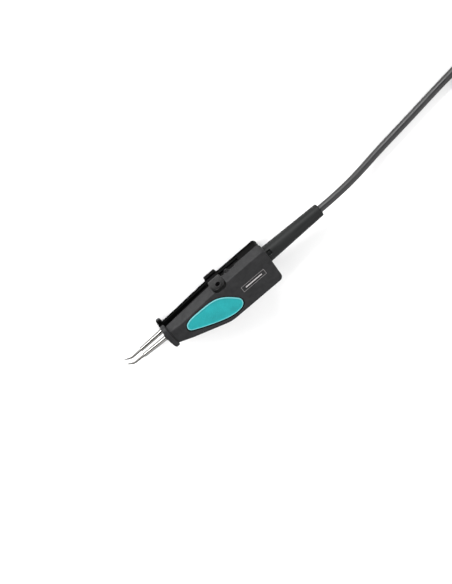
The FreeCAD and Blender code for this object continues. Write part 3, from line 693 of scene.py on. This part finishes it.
def relief_ribs(x, angle):
    """Staggered half rings let into the plug's strain relief."""
    row = (PLUG_X - x - RIB_START) / RIB_STEP
    near = abs(row - round(row)) * RIB_STEP
    if not 0 <= round(row) <= RIB_LAST:
        return 0.0
    across = math.cos(angle) ** 2 if round(row) % 2 else math.sin(angle) ** 2
    return RIB_DEEP * bell(near, 0, 0.45, 0.25) * bell(across, 1.0, 0.75, 0.12)


def grip_flutes(x, angle):
    """Flutes along the plug's grip, fading at both ends."""
    wave = (0.5 - 0.5 * math.cos(FLUTES * angle)) ** 0.6
    return FLUTE_DEEP * bell(PLUG_X - x, FLUTE_MIDDLE, 8.0, 2.5) * wave


def add_plug():
    """Its strain relief, grip and collar, as (distance from the cable's end, radius) profiles."""
    relief = [(0, CABLE_R), (0.05, 4.0), (0.5, 4.35)]
    relief += [(x, RELIEF_START_R + (RELIEF_R - RELIEF_START_R) * x / RELIEF_LONG)
               for x in steps(0.8, RELIEF_LONG, 44)]
    grip = [(14.02, 4.5), (14.02, 6.6), (14.4, 7.4), (15.2, 8.1), (16.5, 8.6), (18.0, 8.9)]
    grip += [(x, PLUG_R) for x in steps(18.6, 35.5, 40)]
    grip += [(37.0, 8.95), (38.6, 8.7), (39.5, 8.3), (39.9, 7.8), (39.98, 7.2), (39.98, 5.0)]
    skirt = [(GRIP_LONG, SKIRT_R - 0.1), (40.3, SKIRT_R), (44.0, SKIRT_R), (44.2, 7.3), (44.6, 7.3),
             (44.8, SKIRT_R), (51.6, SKIRT_R), (SKIRT_LONG, SKIRT_R - 0.3), (51.9, SKIRT_BORE + 0.05),
             (51.4, SKIRT_BORE), (GRIP_LONG, SKIRT_BORE)]
    return [
        add_plug_piece("plug_strain_relief", "plug_relief", "boot_rubber", relief, relief_ribs),
        add_plug_piece("plug_body", "plug_grip", "plug_plastic", grip, grip_flutes),
        add_plug_piece("plug_collar", "plug_shell", "plug_metal", skirt, closed=True),
    ]


# Table and light

def add_floor():
    bpy.ops.mesh.primitive_plane_add(size=8.0, location=(0, 0, -0.0003))
    floor = bpy.context.object
    floor.name = "table"
    paper = Finish("table", 0.85, specular=0.1)
    paper.base(srgb(243, 243, 243), srgb(246, 246, 246), paper.noise(60.0, 2.0))
    floor.data.materials.append(paper.done(paper.noise(20.0), 0.04))


OPENING_EDGE, OPENING_CORE = math.cos(math.radians(30)), math.cos(math.radians(20))   # of the light tent
DIM_SIDE, BRIGHT_SIDE = 0.5, 1.3


def area_light(name, place, towards, long, wide, power):
    """A softbox whose long side runs as near along X as it can."""
    data = bpy.data.lights.new(name, "AREA")
    data.shape = "RECTANGLE"
    data.size, data.size_y = long, wide
    data.energy = power
    light = bpy.data.objects.new(name, data)
    back = (Vector(place) - Vector(towards)).normalized()
    up = back.cross((1, 0, 0)).normalized()
    axes = Matrix((up.cross(back), up, back)).transposed().to_4x4()
    light.matrix_world = Matrix.Translation(place) @ axes
    bpy.context.scene.collection.objects.link(light)


def add_light():
    """A long softbox beyond the ears, a broad one above, and a tent with a dark opening in front."""
    area_light("key", (-0.15, 0.80, 0.36), (0, 0, 0), 1.4, 0.26, 20.0)
    area_light("fill", (0.35, -0.7, 1.1), (0.05, 0, 0), 2.0, 2.0, 17.0)
    world = bpy.data.worlds.new("studio")
    bpy.context.scene.world = world
    world.use_nodes = True
    nodes, links = world.node_tree.nodes, world.node_tree.links
    direction = nodes.new("ShaderNodeTexCoord").outputs["Generated"]

    def graded(towards, low, high, out_low, out_high):
        """A strength that changes with the angle from a direction."""
        along = nodes.new("ShaderNodeVectorMath")
        along.operation = "DOT_PRODUCT"
        along.inputs[1].default_value = towards
        links.new(direction, along.inputs[0])
        span = nodes.new("ShaderNodeMapRange")
        for key, value in zip(("From Min", "From Max", "To Min", "To Max"), (low, high, out_low, out_high)):
            span.inputs[key].default_value = value
        links.new(along.outputs["Value"], span.inputs["Value"])
        return span.outputs[0]

    strength = nodes.new("ShaderNodeMath")
    strength.operation = "MULTIPLY"
    links.new(graded((0, 1, 0), -0.6, 0.8, DIM_SIDE, BRIGHT_SIDE), strength.inputs[0])
    front = (0, math.sin(TILT), math.cos(TILT))
    links.new(graded(front, OPENING_EDGE, OPENING_CORE, 1.0, 0.0), strength.inputs[1])
    links.new(strength.outputs[0], nodes["Background"].inputs["Strength"])
    nodes["Background"].inputs["Color"].default_value = (1, 1, 1, 1)
    bpy.context.scene.view_settings.view_transform = "Standard"


add_camera()
dress_cad_nodes()
cable = add_cable()
for arm, outwards in (("near", 1), ("far", -1)):
    add_pad(arm, outwards)
    add_spring(arm, outwards)
add_boot()
strap = add_strap()
plug = add_plug()
add_floor()
add_light()

bpy.context.view_layer.update()
